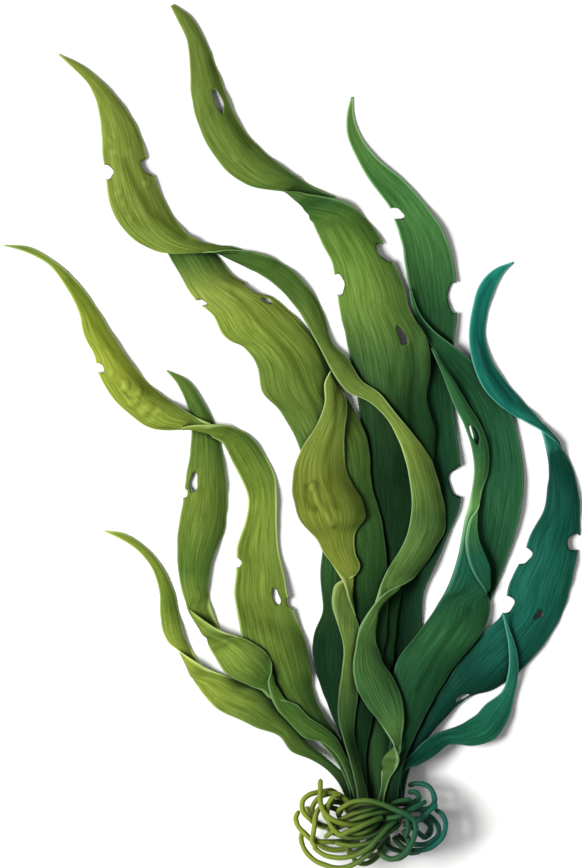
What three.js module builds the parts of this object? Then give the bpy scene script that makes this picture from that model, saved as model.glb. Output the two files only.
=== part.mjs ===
// A whole kelp plant lying on a flat surface: twelve leathery fronds that grow out of one crown,
// and the holdfast of root strands (haptera) round the crown.
import * as THREE from "three";

// Driving sizes of the fronds, in millimetres
const THICKNESS = 2;
const REST_GAP = 0.8; // between fronds that lie on one another
const ARCH = 0.15; // rise of a frond's middle over its margins, as a share of its width
const RUFFLE = 2.2; // up and down of the margins
const RUFFLE_WIDTH = 30; // narrower rows are ruffled less
const RUFFLE_TURN = { row: 1.9, margin: 2, frond: 1.3 }; // radians from one to the next
const TIP_TAPER = 0.28; // half thickness of a narrow row, as a share of its width
const TIP_HALF = 0.1; // half thickness left where the width is nothing
const COLUMNS = 5; // points across a frond
const STIPE_RISE = 26; // height of the lowest stipe where it meets the crown
const RISE_FROM = 690; // the stipes climb between these two distances down the plan
const RISE_TO = 797;

// Driving sizes of the holdfast
const CROWN = { x: 374, y: 800.5, z: 36, halfWidth: 29, length: 32, halfHeight: 19, sides: 14 };
const CROWN_PROFILE = [[0.6, 1], [0.85, 0.7], [0.95, 0.3], [0.9, 0]]; // share of its width, of its length
const STRAND_RADIUS = 2.75;
const STRAND_TIP = 0.55; // radius of a free end, as a share
const STRAND_GAP = 0.5;
const STRAND_SIDES = 5;
const RING_STEP = 9; // length of strand between rings
const STIPE_ROOM = 2.2; // from a strand's skin to the middle of a stipe

// How the pile of fronds is laid: samples between rows and across them, then rounds and passes.
const MAP_SAMPLES = { along: 16, across: 40 };
const LAY_SAMPLES = { along: 8, across: 12 };
const PILE_ROUNDS = 3;
const EASING_PASSES = 60;
const LAST_PASSES = 30;
const SINK = 0.9; // share of its height that a row keeps in an easing pass

// How the strands are moved apart
const UNTANGLE_PASSES = 260;
const EVENING_PASSES = 200;
const EVENING = 0.25; // share of the way to its neighbours that a point is evened out in a pass
const SIDE_GIVE = 0.4; // sideways move, as a share of the move up or down
const LEAST_LIFT = 0.2; // share of a push that goes up or down
const NEIGHBOURS = 3; // links of one strand closer than this along it may touch
const REACH = 30; // links farther apart than this can't touch

// The plan is measured in millimetres to the right and down from the corner of a sheet this size.
const SHEET = { width: 582, height: 868 };

// A frond's rows run from the tip to the crown: margin a (x, y), margin b (x, y), then as needed the
// height of a over b, the arch of the row, and a middle point (x, y) where the frond is folded over.
const FROND = {
  right_tall_frond: {
    colour: 0x3f7a44, arch: -0.1,
    rows: [
      [351, 96, 353, 96], [347, 112, 354, 114], [347, 133, 361, 135], [356, 156, 376, 156],
      [371, 182, 402, 178], [389, 206, 424, 202], [396, 224, 441, 226], [402, 244, 450, 247],
      [405, 265, 455, 268], [414, 315, 457, 315], [418, 345, 454, 345], [420, 380, 452, 380],
      [424, 440, 458, 440], [424, 470, 461, 468], [421, 505, 460, 505], [411, 535, 449, 533],
      [400, 565, 436, 564], [393, 595, 424, 592], [388, 625, 422, 622], [384, 700, 412, 700],
      [383, 740, 405, 740], [382, 770, 398, 770], [382, 799, 396, 799],
    ],
  },
  right_back_frond: {
    colour: 0x2f6a42, arch: -0.08,
    rows: [
      [409, 288, 411, 288], [412, 305, 419, 311], [420, 326, 432, 328], [432, 348, 452, 344],
      [446, 368, 472, 360], [458, 390, 492, 381], [468, 415, 507, 402], [474, 440, 518, 434],
      [476, 470, 524, 475], [474, 500, 522, 505], [470, 560, 504, 568],
      [464, 590, 492, 598], [452, 622, 476, 632], [434, 660, 456, 672], [415, 705, 432, 715],
      [400, 750, 412, 755], [387, 799, 399, 799],
    ],
  },
  teal_frond: {
    colour: 0x1c6f62,
    rows: [
      [513, 261, 514, 262.5], [496, 267.5, 504, 273], [481, 282, 494, 292], [472.5, 307, 487, 316],
      [469, 335, 486, 338], [472.5, 362, 494, 363], [486, 391.5, 513, 389], [503, 408, 528, 406],
      [516, 416.5, 538, 417, 4], [526, 421.5, 541, 423.5, 14, 0, 545.3, 427.2],
      [535.5, 427, 541.5, 431, 20, 0, 552.3, 433.8], [544.5, 432.7, 543.7, 438.5, 22, 0, 557.8, 440.6],
      [553, 439, 545.8, 446.5, 20, 0, 560.2, 446.5], [560.5, 446.3, 547.3, 454.5, 13, 0, 557.5, 450],
      [567, 455, 548.8, 464, 7, 0.03], [572, 465.5, 549, 473, 2],
      [578.5, 490, 548, 484], [580.5, 518, 543, 512], [580, 542, 531, 533],
      [576, 563, 524, 554], [571, 586, 510, 582], [562, 615, 503, 612], [545, 643, 484, 632],
      [520, 671, 466, 652], [494, 689, 450, 676], [468, 697.5, 436, 698], [446, 717, 424, 722],
      [426, 740, 412, 745], [410, 768, 398, 768], [404, 799, 394, 799],
    ],
  },
  tall_frond: {
    colour: 0x76913c,
    rows: [
      [170, 5, 174, 3], [176, 17, 190, 15], [186, 38, 204, 37], [189.5, 65, 217, 66],
      [191, 95, 228, 97], [198, 124, 241, 124], [214, 155, 262, 149], [236, 178, 283, 166],
      [256, 187, 297, 176, 4], [272, 189.7, 306, 181.5, 8, 0.05],
      [285, 190.3, 317, 187.3, 14, 0, 290.3, 190.5],
      [297, 191, 328, 192.5, 20, 0, 294.3, 196.5], [309, 193.6, 335.5, 196.8, 24, 0, 298.9, 201.5],
      [321, 195.3, 328, 203.5, 24, 0, 302.1, 205.4], [333, 197.2, 316, 211, 20, 0, 306.8, 208.9],
      [345, 201, 309.5, 217, 13, 0, 318, 211], [357, 208.6, 313, 223, 7, 0.05],
      [369, 220.8, 317, 232, 3], [379, 235, 321, 241],
      [391, 257, 331, 260], [404, 286, 336, 284], [411, 312, 340, 312], [424, 333, 345, 333],
      [430, 352, 350, 358], [429, 380, 356, 390], [426, 397, 360, 415], [435, 430, 364, 445],
      [434, 455, 368, 475], [426, 490, 374, 510], [414, 530, 377, 550],
      [400, 600, 374, 625], [395, 640, 371, 660], [392, 700, 371, 714], [394, 735, 365, 740],
      [390, 768, 363.5, 768], [388, 799, 366, 799],
    ],
  },
  broad_frond: {
    colour: 0x6d8a3a,
    rows: [
      [145, 214, 147, 213], [152, 232, 176, 228], [168, 254, 216, 253], [180, 275, 232, 274],
      [195, 299, 258, 288], [211, 313, 275, 298], [224, 336, 300, 320], [246, 349, 322, 348],
      [257, 366, 334, 370], [262, 391, 345, 393], [280, 411, 357, 414], [295, 437, 367, 438],
      [311, 490, 373, 489], [317, 520, 381, 516], [322, 548, 386, 550],
      [320, 576, 388, 580], [322.5, 610, 388, 610], [313, 638, 386, 640], [314, 665, 380, 668],
      [323, 693, 377, 698], [334, 721, 371, 728], [345, 750, 366, 755], [350, 778, 367, 778],
      [351, 799, 367, 799],
    ],
  },
  low_left_frond: {
    colour: 0x8a9c3c,
    rows: [
      [104, 531.5, 105, 530], [120, 539, 124, 533], [138, 551, 148, 549], [152, 569, 164, 570],
      [159, 592, 174, 592], [160, 617, 180, 617], [162.5, 631, 184, 634],
      [167.5, 641.5, 187.5, 642, 4], [174, 647.5, 191.5, 649.5, 10, 0.03],
      [181.5, 652, 195.5, 655.5, 18, 0, 182.6, 654], [189, 656.8, 199.5, 661.5, 22, 0, 184.7, 661],
      [197, 661.8, 201, 667.5, 24, 0, 187.6, 668], [205.5, 666.9, 197, 674, 20, 0, 190.9, 674.5],
      [214.5, 671, 195, 681, 14, 0, 197.7, 677], [224, 674.7, 198.5, 688.5, 8, 0.05],
      [234, 678, 204, 696, 3], [244, 682, 211, 703.5], [256, 686, 220, 711], [269, 693, 236, 718],
      [281, 706, 256, 727.5], [296, 722, 279, 736], [308, 741, 291, 751], [326, 757, 311, 759],
      [345, 774, 331, 773], [357, 799, 345, 799],
    ],
  },
  long_left_frond: {
    colour: 0x84983d,
    rows: [
      [3, 245, 4, 244], [25, 251.5, 28, 246], [48, 264, 52, 259], [65, 286, 76, 280],
      [78, 311, 97, 308], [84, 336, 115, 338], [93, 353, 131, 362], [99, 375, 147, 381],
      [112, 397, 164, 396], [133, 417, 178, 405.5],
      [152, 428.3, 188, 412], [168, 429.5, 196, 416.3, 6], [179, 428.2, 202, 419.2, 12, 0, 186.5, 427.6],
      [187, 425.6, 207, 421.4, 18, 0, 191.9, 428.5], [196, 424.3, 211, 423.5, 22, 0, 199.2, 430.7],
      [206, 424, 209, 430, 22, 0, 206.5, 432.4], [216.5, 423.8, 211.5, 436, 17, 0, 213, 432],
      [227, 424.7, 217, 439.5, 11, 0.03], [237.5, 428, 222.5, 443, 6, 0.05],
      [247, 433.2, 226.5, 449.5, 3], [257, 443, 230, 457], [268, 459.5, 236.5, 470, 0, 0],
      [275, 475, 243, 483, 0, -0.08],
      [277, 495, 248, 499, 0, -0.1], [277, 520, 245, 521, 0, -0.1],
      [279, 550, 237, 546, 0, -0.1], [285, 577, 236, 570, 0, -0.1], [288, 594, 234, 592, 0, -0.1],
      [297, 618, 238, 618, 0, -0.08],
      [305, 640, 243, 642], [311, 665, 254, 668], [314, 692, 272, 698], [325, 717, 296, 722],
      [341, 739, 318, 740], [354, 765, 339, 766], [362, 799, 350, 799],
    ],
  },
  left_twisted_frond: {
    colour: 0x879b3f,
    rows: [
      [166, 370.5, 167, 369.5], [176, 382, 187, 379], [187, 406, 204, 403], [191, 428, 217, 428],
      [190, 450, 222, 450], [185.5, 478, 226, 478], [182, 505, 227, 505], [177.5, 532, 224, 532],
      [177, 556, 214, 556], [180, 583, 208.5, 588], [183.5, 597, 209.5, 597, 4],
      [188, 607, 211.5, 606.5, 10, 0, 191.5, 607], [194, 612.3, 214, 613.5, 18, 0, 192.6, 614],
      [201, 617.5, 217, 620.5, 23, 0, 195.7, 621], [209, 623.2, 219.5, 627.5, 24, 0, 199, 627],
      [217.5, 628.3, 213, 634.5, 22, 0, 202.8, 633.5], [227, 632.5, 207.5, 641.5, 16, 0, 213, 637.5],
      [237, 635.8, 209.5, 648.5, 9, 0.05], [247, 639.2, 213.5, 655, 4],
      [257, 644.5, 218, 662], [266, 652, 226.5, 674], [271, 659.5, 240, 681, 4],
      [272.3, 666.5, 252, 687, 10, 0.03], [270.3, 673, 262, 691, 18, 0, 272.3, 678],
      [267.6, 681, 268, 697, 20, 0, 275, 684], [269, 690, 277, 701, 18, 0, 278.8, 689.5],
      [272, 700, 287.5, 701.5, 11, 0, 282.5, 698], [278, 710.5, 297, 704, 4, 0.03],
      [286, 719, 303, 710],
      [295, 729, 311, 718], [304, 737, 324, 726], [322, 742, 337, 738],
      [338, 757, 347, 757], [347, 777, 357, 775], [353, 799, 364, 799],
    ],
  },
  small_teal_frond: {
    colour: 0x1f6657,
    rows: [
      [502, 612, 503, 612], [508.5, 650, 517, 652], [508, 672, 518.5, 674],
      [502, 691, 515, 695], [487, 703, 508, 720], [474, 716, 494, 739], [456, 726, 472, 745.5],
      [438, 732, 450, 744], [424, 740, 436, 754], [412, 752, 420, 763.5], [400, 765, 405, 769.5],
      [395, 783, 401, 783], [394, 799, 403, 799],
    ],
  },
  right_front_frond: {
    colour: 0x2f6d4c,
    rows: [
      [431, 348.5, 432, 347.5], [442, 373, 453, 379], [453, 402, 467, 402], [465, 427, 482, 427],
      [472, 450, 489, 450], [474, 472, 488, 474], [471.5, 491, 482.5, 490, -4, 0.05],
      [468, 508, 477.5, 508, -10, 0, 477, 508], [465, 518, 470, 518, -14, 0, 477.2, 517],
      [463, 528, 467, 527.5, -17, 0, 477, 527.5], [461, 540, 465.2, 540, -18, 0, 479, 540],
      [458.5, 553, 466.2, 552.5, -18, 0, 484, 553], [455, 566, 470, 566, -18, 0, 489, 566],
      [451, 578, 475.5, 577, -16, 0, 488.7, 577], [446, 589.5, 483.5, 588.5, -12, 0, 485.5, 589],
      [439.5, 601, 490, 600, -4, 0.05], [428, 619, 489, 617], [411, 641, 477, 640],
      [397, 660, 459, 661], [392, 685, 442, 686],
      [390, 738, 414, 738], [387, 765, 404, 760], [386, 799, 398, 799],
    ],
  },
  pouch_frond: {
    colour: 0x839642,
    rows: [
      [330, 370.5, 331.5, 370], [324.5, 382, 340, 385], [324.5, 402, 347, 402],
      [315, 427, 345, 428], [301, 449, 344.5, 452], [293, 473, 348, 475, 0, 0.24],
      [293, 498, 361, 498, 0, 0.28], [301, 522, 365, 517, 0, 0.26], [315, 537, 355, 534],
      [324, 553, 356, 554], [333, 565.5, 360, 566, 6], [338, 573.5, 356.5, 573, 14, 0, 350.5, 574],
      [342.3, 580.5, 346.5, 577.5, 20, 0, 353, 581.5], [345.3, 588, 335.5, 583.5, 22, 0, 351.8, 589],
      [347.8, 597.5, 332, 594.5, 20, 0, 350.5, 597.5], [351.5, 607, 332, 606, 15, 0, 351.5, 607],
      [356, 617, 335, 616.5, 8, 0.05, 349.5, 617], [359.5, 628, 338.5, 627, 2],
      [358, 641, 342, 638], [355, 655, 343.5, 652], [354, 668, 342, 668],
      [358, 695, 338, 700], [355, 718, 338, 718], [355, 745, 345, 745], [362, 772, 352, 770],
      [368, 799, 357, 799],
    ],
  },
  front_ribbon_frond: {
    colour: 0x6f8f45,
    rows: [
      [58, 54, 59, 53], [70, 65, 80, 63], [86, 81, 102, 81], [97, 105, 127, 110],
      [101, 132, 141, 135], [102, 152, 147, 157], [106, 180, 157, 183], [111, 208, 170, 210],
      [128, 234, 182, 227], [152, 249.3, 194, 237], [172, 253.4, 208, 242.8, 4],
      [190, 253, 222, 245, 9, 0.05], [206, 252, 236, 247, 13, 0],
      [220, 250.3, 246, 251, 15, 0, 233, 251.5], [233, 249.2, 248, 257, 15, 0, 217, 252.3],
      [246, 250, 248, 263, 13, 0, 223, 254], [258, 252.3, 251, 268, 10, 0, 239, 259],
      [270, 256.3, 258, 273, 8], [282, 262.3, 270, 280.5, 6],
      [293, 270.3, 281, 290, 6], [305, 283, 291, 301, 5], [317, 298, 300, 313], [326, 320, 311, 332],
      [332, 341, 322, 352], [348, 358, 333, 373], [361, 379, 347, 391], [380, 393, 368, 401, -4],
      [396, 413, 384, 415, -9], [415, 436, 397, 437, -10], [431, 459, 406, 463, -6],
      [439, 483, 410, 485], [445, 508, 411.5, 505], [444, 533, 407, 533], [435, 548, 400, 549.5],
      [428, 560, 392, 561.5], [418, 573.5, 385, 574, 8], [408.5, 581.5, 380, 585.5, 28, 0.05],
      [398, 585.2, 377, 595, 46, 0, 395.5, 590.5], [388.5, 589.5, 374.5, 603, 56, 0, 391.5, 594.5],
      [380.5, 596, 373, 612, 58, 0, 384.5, 600.5], [373, 604.8, 373, 619, 54, 0, 378.5, 608.5],
      [366, 614.5, 374, 626.5, 42, 0, 376, 618], [360, 625, 375, 633.5, 28, 0.03, 371.5, 628],
      [356.8, 637, 376, 641.5, 14, 0.05], [355, 649, 378.5, 649.5, 5],
      [353, 663, 383, 662], [356, 686, 396, 682], [367, 706, 403.3, 706], [378, 720, 403.8, 720, 10],
      [387, 733.5, 402.2, 733, 36, 0.05], [392.5, 742, 401, 743, 52, 0],
      [396.3, 748.5, 400, 751, 60, 0, 391.5, 748.5], [398.8, 755.5, 394, 759.5, 58, 0, 384.8, 754.5],
      [398.5, 762, 385.5, 765.5, 36, 0, 383, 762], [395.5, 768, 381.3, 770.5, 12, 0.05],
      [390.5, 775.5, 381, 777], [387, 785, 381, 785], [384, 799, 378, 799],
    ],
  },
};
// From the bottom of the pile to the top; one frond slips under another near its own tip.
const PILE = Object.keys(FROND);
const SLIP = { under: "long_left_frond", frond: "left_twisted_frond", above: 575 };

// The strands run from the crown to their free ends: x, y down the plan, and height.
const STRAND = {
  upright: [[372, 818, 62], [352, 822, 66], [338, 819, 67], [327, 813, 66], [321, 803, 62],
    [320, 790, 57], [320.5, 777, 52]],
  left_loop: [[352, 812, 20], [345, 800, 26], [336, 790, 36], [326, 790.5, 44], [312, 793, 48],
    [304, 800, 49], [304, 809, 49], [310, 817, 48], [318, 822, 46], [330, 826, 42]],
  left_front_loop: [[382, 812, 64], [372, 816, 70], [358, 823, 72], [346, 828, 71], [339, 831, 69],
    [331, 821, 66], [327, 812, 63], [328, 803, 60], [334, 795, 57], [342, 793, 52]],
  left_ring: [[352, 820, 40], [343, 820, 50], [334, 817, 54], [328, 811, 54], [329, 804, 52],
    [337, 800.5, 47], [344, 803, 40]],
  front_arc: [[346, 820, 50], [338, 812, 60], [345, 804, 65], [355, 799.5, 67], [368, 798.5, 69],
    [382, 802, 70], [396, 808, 70], [409, 813.5, 69], [415, 822, 67], [413.5, 834, 65],
    [409, 845, 62], [400, 854, 58], [390, 857, 53], [382, 853, 49], [379, 846, 46]],
  far_left_hook: [[364, 832, 36], [345, 837, 44], [328, 838, 47], [315, 838, 47], [307, 832, 46],
    [299, 825, 44], [296, 816, 41], [299, 809, 38]],
  bottom_outer: [[382, 828, 56], [368, 846, 62], [358, 856, 56], [349, 862, 50], [338, 865, 45],
    [326, 863, 41], [314, 858, 38], [305, 849, 36], [301, 838, 34], [303, 829, 32]],
  bottom_inner: [[394, 813, 62], [386, 821, 66], [378, 831, 66], [369, 842, 64], [358, 850, 60],
    [346, 854, 56], [334, 854.5, 53], [322, 851.5, 50], [313, 844, 46]],
  left_brace: [[350, 812, 44], [336, 806, 50], [322, 808, 54], [319, 818, 55], [316, 828, 54],
    [313, 838, 52], [316, 846, 56]],
  lower_swag: [[386, 818, 60], [376, 828, 60], [364, 833, 58], [350, 834.5, 56], [337, 832.5, 53],
    [326, 826, 50]],
  inner_swag: [[381, 818, 58], [370, 826, 66], [358, 830, 65], [345, 829, 60]],
  cross_strand: [[385, 805, 62], [375, 806, 64], [360, 810, 64], [345, 812, 60], [330, 815, 56]],
  right_top_loop: [[398, 812, 30], [409, 809, 36], [419, 809, 40], [427, 805, 41], [429, 796, 40],
    [425, 786, 37], [416, 782, 33], [405, 784, 28]],
  right_small_loop: [[398, 806, 40], [408, 803, 44], [416, 799, 44], [415, 792, 40], [407, 791, 36]],
  teal_stub: [[400, 822, 52], [414, 819, 55], [424, 812, 56], [437, 802, 54]],
  right_outer_loop: [[388, 830, 40], [398, 842, 42], [411, 846, 45], [423, 845, 47], [434, 840, 47],
    [442, 831, 47], [444, 821, 46], [441, 812, 45], [434, 808, 43]],
  right_inner_loop: [[392, 830, 30], [404, 838, 32], [416, 841, 35], [427, 839, 37], [435, 834, 37],
    [437, 826, 36], [433, 818, 34], [426, 813, 31]],
  right_core_loop: [[400, 818, 26], [410, 818, 27], [420, 819, 27], [428, 825, 26], [429, 833, 24],
    [421, 838, 21]],
  middle_hook: [[360, 830, 26], [352, 838, 28], [349, 844, 30], [351, 852, 31]],
  bottom_loop: [[380, 832, 30], [380, 845, 32], [375, 854, 33], [369, 860, 32], [361, 862, 30],
    [352, 857, 28]],
  low_right: [[382, 832, 20], [384, 841, 21], [392, 847, 22], [402, 850.5, 22], [412, 852, 21],
    [421, 851, 19]],
  top_right_stub: [[390, 806, 57], [400, 800, 58], [412, 798, 55]],
  upper_swag: [[396, 808, 58], [384, 808, 66], [368, 811, 68], [354, 816, 66], [342, 822, 62],
    [332, 829, 57], [324, 836, 52]],
  second_arc: [[346, 808, 58], [354, 803.5, 62], [366, 802, 64], [378, 803, 65], [392, 808, 64],
    [404, 816, 62], [408, 826, 58], [404, 836, 54]],
  right_cross: [[380, 812, 62], [392, 812, 66], [404, 808, 66], [416, 803, 62], [426, 799, 56]],
  left_weave: [[356, 806, 48], [346, 797, 48], [334, 794, 47], [322, 797, 45], [314, 804, 43],
    [313, 813, 41]],
  core_swag: [[396, 820, 56], [386, 830, 60], [374, 838, 60], [360, 842, 57], [346, 842, 52],
    [334, 839, 47]],
  low_core: [[372, 834, 40], [364, 844, 44], [356, 850, 44], [346, 850, 42]],
  right_under: [[402, 822, 34], [412, 828, 36], [420, 834, 36], [428, 838, 33]],
  right_drop: [[398, 826, 48], [404, 836, 50], [406, 846, 48], [402, 854, 44], [394, 858, 40]],
  back_left: [[352, 820, 18], [338, 826, 11], [322, 826, 7], [310, 818, 4], [306, 806, 3]],
  back_bottom: [[364, 832, 15], [352, 845, 10], [336, 850, 6], [320, 846, 3], [311, 836, 3]],
  back_right: [[398, 812, 18], [412, 808, 10], [425, 814, 5], [431, 826, 3], [425, 838, 3]],
  back_middle: [[386, 832, 12], [388, 845, 6], [378, 855, 3], [362, 856, 3]],
};
const STRAND_COLOUR = { left: 0x86953a, middle: 0x3d6a35, right: 0x1f6a5c };
const COLOUR_FROM = { middle: 345, right: 405 }; // across the plan

function onPlan(x, y, z) {
  return new THREE.Vector3(x - SHEET.width / 2, SHEET.height / 2 - y, z);
}

// The height by which every stipe climbs towards the crown at this distance down the plan.
function climb(y) {
  return STIPE_RISE * THREE.MathUtils.smoothstep(y, RISE_FROM, RISE_TO);
}

// Each row as its two margins and its middle, before the frond is laid on anything.
function looseRows(frond, turn) {
  return frond.rows.map(([ax, ay, bx, by, over = 0, arch = frond.arch ?? ARCH, mx, my], i) => {
    const width = Math.hypot(ax - bx, ay - by);
    const wave = Math.min(1, width / RUFFLE_WIDTH) * RUFFLE * (ay > RISE_FROM ? 0 : 1);
    const phase = RUFFLE_TURN.row * i + turn;
    const a = onPlan(ax, ay, climb(ay) + over / 2 + wave * Math.sin(phase));
    const b = onPlan(bx, by, climb(by) - over / 2 + wave * Math.sin(phase + RUFFLE_TURN.margin));
    const middle = a.clone().add(b).multiplyScalar(0.5);
    if (mx !== undefined) middle.copy(onPlan(mx, my, middle.z));
    middle.z += arch * width;
    return { a, b, middle };
  });
}

// A point across a row: v is 0 on margin a and 1 on margin b.
function across({ a, b, middle }, v) {
  return a.clone().multiplyScalar((1 - v) * (1 - 2 * v))
    .addScaledVector(middle, 4 * v * (1 - v))
    .addScaledVector(b, v * (2 * v - 1));
}

// The points of a frond between its rows: row, share of the way to the next row, share across, point.
function* samples(rows, steps) {
  for (let i = 0; i + 1 < rows.length; i++)
    for (let f = 0; f <= 1; f += 1 / steps.along)
      for (let v = 0; v <= 1; v += 1 / steps.across)
        yield { i, f, v, p: across(rows[i], v).lerp(across(rows[i + 1], v), f) };
}

// The highest point of a frond over each cell of the plan.
const CELL = 2;
const CELLS_ACROSS = SHEET.width / CELL + 4;
const CELLS_DOWN = SHEET.height / CELL + 4;
function cellOf(p) {
  const i = Math.round((p.x + SHEET.width / 2) / CELL) + 1;
  const j = Math.round((SHEET.height / 2 - p.y) / CELL) + 1;
  return j * CELLS_ACROSS + i;
}
function heightMap(rows) {
  const map = new Float32Array(CELLS_ACROSS * CELLS_DOWN).fill(-Infinity);
  for (const { p } of samples(rows, MAP_SAMPLES)) {
    const c = cellOf(p);
    for (const k of [c, c - 1, c + 1, c - CELLS_ACROSS, c + CELLS_ACROSS])
      map[k] = Math.max(map[k], p.z + THICKNESS / 2);
  }
  return map;
}

function liesOver(upper, lower, y) {
  if (upper === SLIP.frond && lower === SLIP.under) return y > SLIP.above;
  if (upper === SLIP.under && lower === SLIP.frond) return y < SLIP.above;
  return PILE.indexOf(upper) > PILE.indexOf(lower);
}

// The height that a point of a frond may not sink below.
function floorUnder(name, p, maps) {
  let floor = THICKNESS / 2;
  for (const [lower, map] of Object.entries(maps))
    if (lower !== name && liesOver(name, lower, SHEET.height / 2 - p.y))
      floor = Math.max(floor, map[cellOf(p)] + REST_GAP + THICKNESS / 2);
  return floor;
}

// Lifts the four margin points round a sample until it is high enough.
function settle({ i, f, v, need }, lift) {
  const corners = [
    [i, 0, (1 - f) * (1 - v)],
    [i, 1, (1 - f) * v],
    [i + 1, 0, f * (1 - v)],
    [i + 1, 1, f * v],
  ];
  const short = need - corners.reduce((sum, [k, side, share]) => sum + share * lift[k][side], 0);
  if (short <= 0) return;
  const total = corners.reduce((sum, [, , share]) => sum + share * share, 0);
  for (const [k, side, share] of corners) lift[k][side] += (short * share) / total;
}

// Lets each row sink a little, towards the rows beside it.
function ease(lift) {
  const last = lift.map((pair) => [...pair]);
  lift.forEach((pair, k) => {
    const before = last[Math.max(0, k - 1)];
    const after = last[Math.min(last.length - 1, k + 1)];
    for (const side of [0, 1])
      pair[side] = SINK * ((before[side] + 2 * last[k][side] + after[side]) / 4);
  });
}

// Lifts the two margins of every row, smoothly, until the frond clears all that lies under it.
function layDown(name, loose, maps) {
  const lift = loose.map(() => [0, 0]);
  const holds = Array.from(samples(loose, LAY_SAMPLES), ({ i, f, v, p }) =>
    ({ i, f, v, need: floorUnder(name, p, maps) - p.z }));
  for (let pass = 0; pass < EASING_PASSES; pass++) {
    ease(lift);
    holds.forEach((hold) => settle(hold, lift));
  }
  for (let pass = 0; pass < LAST_PASSES; pass++) holds.forEach((hold) => settle(hold, lift));
  return loose.map(({ a, b, middle }, k) => ({
    a: a.clone().setZ(a.z + lift[k][0]),
    b: b.clone().setZ(b.z + lift[k][1]),
    middle: middle.clone().setZ(middle.z + (lift[k][0] + lift[k][1]) / 2),
  }));
}

// A closed skin through rings of points, with a fan over each end.
function skin(rings) {
  const sides = rings[0].length;
  const centre = (ring) => ring.reduce((sum, p) => sum.add(p), new THREE.Vector3()).divideScalar(sides);
  const points = [...rings.flat(), centre(rings[0]), centre(rings.at(-1))];
  const index = [];
  for (let r = 0; r + 1 < rings.length; r++)
    for (let k = 0; k < sides; k++) {
      const p = r * sides + k;
      const q = r * sides + ((k + 1) % sides);
      index.push(p, q, q + sides, p, q + sides, p + sides);
    }
  const end = (rings.length - 1) * sides;
  for (let k = 0; k < sides; k++) {
    const next = (k + 1) % sides;
    index.push(points.length - 2, next, k, points.length - 1, end + k, end + next);
  }
  return new THREE.BufferGeometry().setFromPoints(points).setIndex(index);
}

function frondSkin(rows) {
  const grid = rows.map((row) =>
    Array.from({ length: COLUMNS }, (_, c) => across(row, c / (COLUMNS - 1))));
  const rings = grid.map((row, r) => {
    const half = Math.min(THICKNESS / 2, TIP_TAPER * row[0].distanceTo(row.at(-1)) + TIP_HALF);
    const faces = row.map((p, c) => {
      const along = grid[Math.min(r + 1, grid.length - 1)][c].clone().sub(grid[Math.max(r - 1, 0)][c]);
      const over = row[Math.min(c + 1, COLUMNS - 1)].clone().sub(row[Math.max(c - 1, 0)]);
      const normal = over.cross(along).normalize().multiplyScalar(half);
      return [p.clone().add(normal), p.clone().sub(normal)];
    });
    return [...faces.map((f) => f[0]), ...faces.map((f) => f[1]).reverse()];
  });
  return skin(rings);
}

// Closest points of two segments, as the shares along them.
function closest(p, q, r, s) {
  const { clamp } = THREE.MathUtils;
  const first = q.clone().sub(p);
  const second = s.clone().sub(r);
  const gap = p.clone().sub(r);
  const a = first.dot(first);
  const b = first.dot(second);
  const c = second.dot(second);
  const d = first.dot(gap);
  const e = second.dot(gap);
  const det = a * c - b * b;
  const start = det > Number.EPSILON ? clamp((b * e - c * d) / det, 0, 1) : 0.5;
  const v = clamp((b * start + e) / c, 0, 1);
  const u = clamp((b * v - d) / a, 0, 1);
  return [u, v];
}

// Moves a point out of the rounded box round the crown; strands lie against it and don't enter it.
function clearCrown(p, room) {
  const centre = onPlan(CROWN.x, CROWN.y + CROWN.length / 2, CROWN.z);
  const half = new THREE.Vector3(CROWN.halfWidth, CROWN.length / 2, CROWN.halfHeight).addScalar(room);
  const rel = p.clone().sub(centre).divide(half);
  const far = Math.sqrt(Math.hypot(rel.x ** 2, rel.y ** 2, rel.z ** 2));
  if (far > 0 && far < 1) p.copy(rel.divideScalar(far).multiply(half).add(centre));
}

// Keeps the points of a strand moving together with their neighbours.
function evenOut(path, drawn) {
  const moved = (i) => path[i].clone().sub(drawn[i]);
  for (let i = 1; i + 1 < path.length; i++)
    path[i].lerp(moved(i - 1).add(moved(i + 1)).multiplyScalar(0.5).add(drawn[i]), EVENING);
}

function push(link, share, way, amount) {
  if (link.fixed) return;
  const give = new THREE.Vector3(way.x * SIDE_GIVE, way.y * SIDE_GIVE, way.z).multiplyScalar(amount);
  link.p.addScaledVector(give, 1 - share);
  link.q.addScaledVector(give, share);
}

// Pushes two links apart if they are closer than the second one's room.
function keepApart(one, other) {
  if (other.s === one.s && Math.abs(other.i - one.i) < NEIGHBOURS) return;
  if (one.p.distanceTo(other.p) > REACH) return;
  const [u, v] = closest(one.p, one.q, other.p, other.q);
  const way = one.p.clone().lerp(one.q, u).sub(other.p.clone().lerp(other.q, v));
  const short = (other.room - way.length()) / 2;
  if (short <= 0) return;
  way.normalize();
  if (Math.abs(way.z) < LEAST_LIFT) way.z = way.z < 0 ? -LEAST_LIFT : LEAST_LIFT;
  push(one, u, way, short);
  push(other, v, way, -short);
}

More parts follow.
